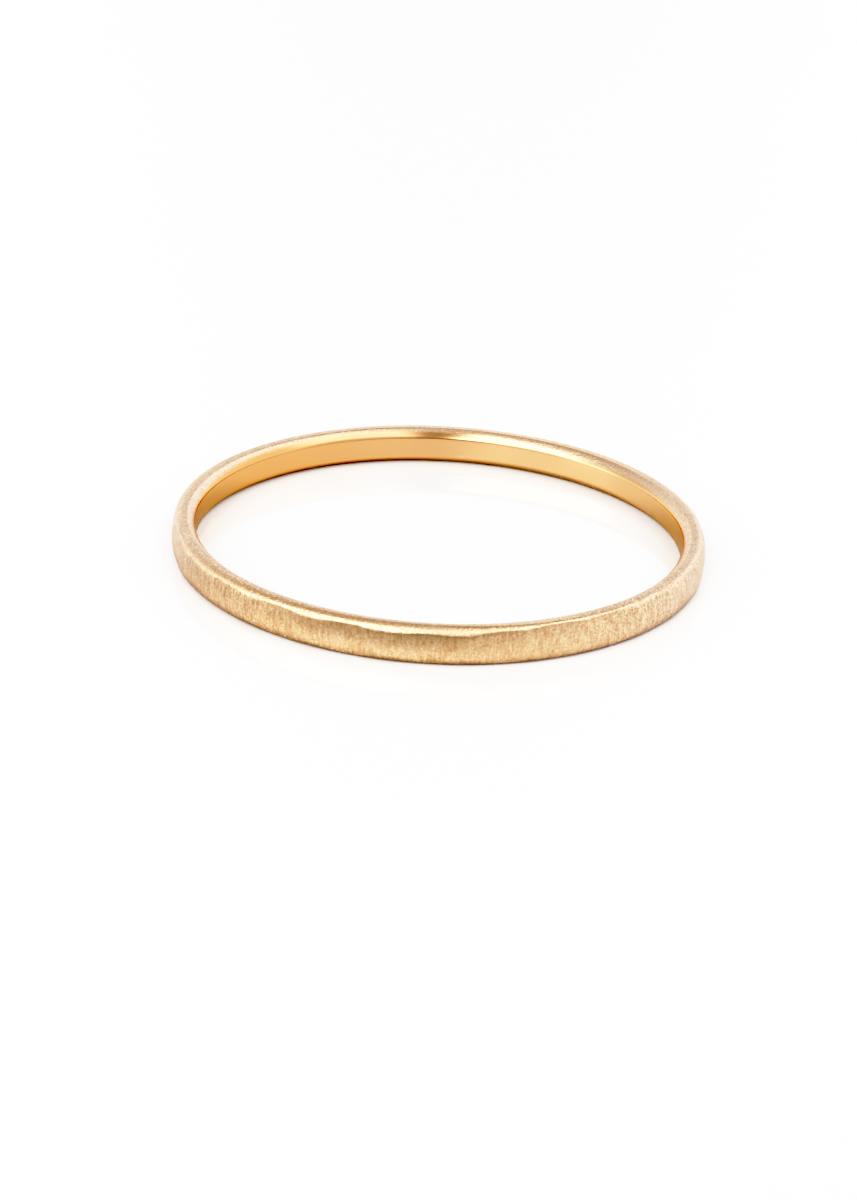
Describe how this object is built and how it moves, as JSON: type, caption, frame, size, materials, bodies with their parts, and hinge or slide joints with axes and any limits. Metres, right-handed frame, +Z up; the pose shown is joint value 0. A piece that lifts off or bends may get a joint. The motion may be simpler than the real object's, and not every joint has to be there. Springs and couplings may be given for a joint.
{
  "type": "stackable finger ring",
  "caption": "Slim closed finger ring of satin gold with hammered flats around its outer face, rounded shoulders and a smooth rounded inner wall, shaped to stack with others.",
  "frame": {"origin": "centre of the lower rim, in the plane that the ring lies on", "axes": "+Z up along the finger hole, +X and +Y across the ring"},
  "size_m": [0.019, 0.019, 0.0014],
  "materials": {
    "satin_gold": "14 carat yellow gold, brushed satin outside, smoother inside"
  },
  "bodies": {
    "root": {"ring_band": "satin_gold"}
  },
  "joints": []
}
